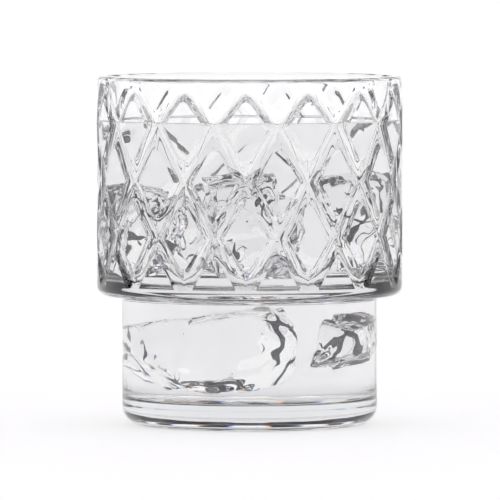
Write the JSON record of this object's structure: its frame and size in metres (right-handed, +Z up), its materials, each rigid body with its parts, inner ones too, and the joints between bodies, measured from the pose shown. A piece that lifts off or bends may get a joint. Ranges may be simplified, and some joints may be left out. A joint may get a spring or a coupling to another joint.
{
  "type": "whiskey tumbler",
  "caption": "Clear stacking tumbler: a wide drum cut with a diamond lattice on a plain narrower foot, holding a clear drink and loose chunks of ice.",
  "frame": {"origin": "middle of the base, on the surface that the tumbler stands on", "axes": "+Z up through the rim along the glass's axis, -Y towards the viewer, +X to the viewer's right"},
  "size_m": [0.085, 0.085, 0.097],
  "materials": {
    "pressed_glass": "polished",
    "clear_drink": "polished",
    "clear_ice": "polished"
  },
  "bodies": {
    "tumbler": {"glass_tumbler": "pressed_glass", "drink": "clear_drink"},
    "foot_ice_left": {"foot_ice_left": "clear_ice"},
    "foot_ice_right": {"foot_ice_right": "clear_ice"},
    "drum_ice_left": {"drum_ice_left": "clear_ice"},
    "drum_ice_front": {"drum_ice_front": "clear_ice"},
    "drum_ice_back": {"drum_ice_back": "clear_ice"},
    "drum_ice_right": {"drum_ice_right": "clear_ice"}
  },
  "joints": [
    {"name": "foot_left_lift", "type": "slide", "parent": "tumbler", "child": "foot_ice_left", "axis": [0, 0, 1], "range_m": [0, 0.095], "deforming": ["drink"]},
    {"name": "foot_right_lift", "type": "slide", "parent": "tumbler", "child": "foot_ice_right", "axis": [0, 0, 1], "range_m": [0, 0.095], "deforming": ["drink"]},
    {"name": "drum_left_lift", "type": "slide", "parent": "foot_ice_left", "child": "drum_ice_left", "axis": [0, 0, 1], "range_m": [0, 0.065], "deforming": ["drink"]},
    {"name": "drum_front_lift", "type": "slide", "parent": "foot_ice_left", "child": "drum_ice_front", "axis": [0, 0, 1], "range_m": [0, 0.065], "deforming": ["drink"]},
    {"name": "drum_back_lift", "type": "slide", "parent": "foot_ice_left", "child": "drum_ice_back", "axis": [0, 0, 1], "range_m": [0, 0.065], "deforming": ["drink"]},
    {"name": "drum_right_lift", "type": "slide", "parent": "foot_ice_right", "child": "drum_ice_right", "axis": [0, 0, 1], "range_m": [0, 0.065], "deforming": ["drink"]}
  ]
}
